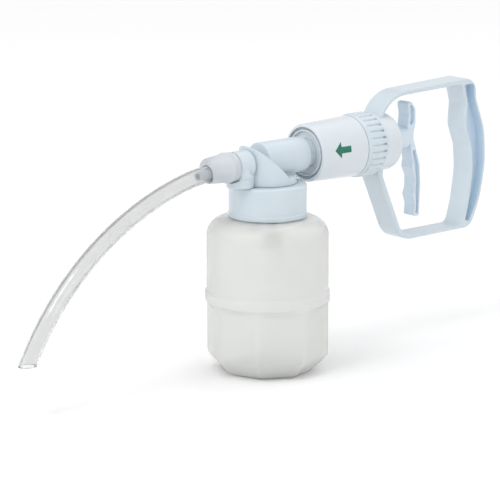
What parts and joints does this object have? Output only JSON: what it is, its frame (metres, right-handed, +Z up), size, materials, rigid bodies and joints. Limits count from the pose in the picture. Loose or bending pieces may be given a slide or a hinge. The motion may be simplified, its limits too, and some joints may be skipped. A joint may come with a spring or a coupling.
{
  "type": "hand-held suction pump",
  "caption": "Hand-operated medical suction pump: piston pump with D handle and sprung finger grip, screw-on collection bottle, curved clear catheter.",
  "frame": {"origin": "centre of the bottle's flat base, on the surface it stands on", "axes": "+Z up along the bottle's axis, +X along the pump's axis from the bottle towards the palm bar"},
  "size_m": [0.3774, 0.078, 0.1675],
  "materials": {
    "natural_plastic": "satin",
    "pale_blue_plastic": "satin",
    "ice_plastic": "satin",
    "clear_pvc": "gloss",
    "white_plastic": "satin",
    "silicone": "satin",
    "steel": "satin"
  },
  "bodies": {
    "pump": {"screw_cap": "pale_blue_plastic", "cap_seal": "silicone", "vacuum_head": "pale_blue_plastic", "inlet_elbow": "pale_blue_plastic", "inlet_nozzle": "pale_blue_plastic", "inlet_drop_tube": "natural_plastic", "float_stem": "pale_blue_plastic", "float_stop_clip": "pale_blue_plastic", "float_seat": "silicone", "head_o_ring": "silicone", "barrel": "ice_plastic", "inlet_valve_disc": "silicone", "barrel_gasket": "silicone", "d_handle": "pale_blue_plastic", "rod_bush": "white_plastic", "return_spring": "steel"},
    "bottle": {"bottle": "natural_plastic"},
    "plunger": {"piston": "white_plastic", "piston_o_ring": "silicone", "exhaust_valve_disc": "silicone", "piston_nut": "steel", "piston_rod": "ice_plastic", "spring_seat": "steel", "finger_grip": "pale_blue_plastic", "grip_screw": "steel"},
    "lock_ring": {"lock_ring": "pale_blue_plastic"},
    "float": {"float": "white_plastic"},
    "catheter": {"catheter_connector": "clear_pvc", "catheter_tube": "clear_pvc"}
  },
  "joints": [
    {"name": "plunger_stroke", "type": "slide", "parent": "pump", "child": "plunger", "axis": [1, 0, 0], "range_m": [0, 0.03], "stiffness_N_per_m": 250, "springref_m": -0.02, "deforming": ["return_spring"]},
    {"name": "bottle_turn", "type": "hinge", "parent": "pump", "child": "bottle", "pos_m": [0, 0, 0.05], "axis": [0, 0, 1], "range_deg": [0, 360]},
    {"name": "lock_ring_turn", "type": "hinge", "parent": "pump", "child": "lock_ring", "pos_m": [0.0768, 0, 0.1335], "axis": [1, 0, 0], "range_deg": [0, 360]},
    {"name": "float_rise", "type": "slide", "parent": "pump", "child": "float", "axis": [0, 0, 1], "range_m": [0, 0.024]},
    {"name": "catheter_twist", "type": "hinge", "parent": "pump", "child": "catheter", "pos_m": [-0.0296, -0.001, 0.1325], "axis": [-0.9945, 0, -0.1045], "range_deg": [-90, 90]}
  ]
}
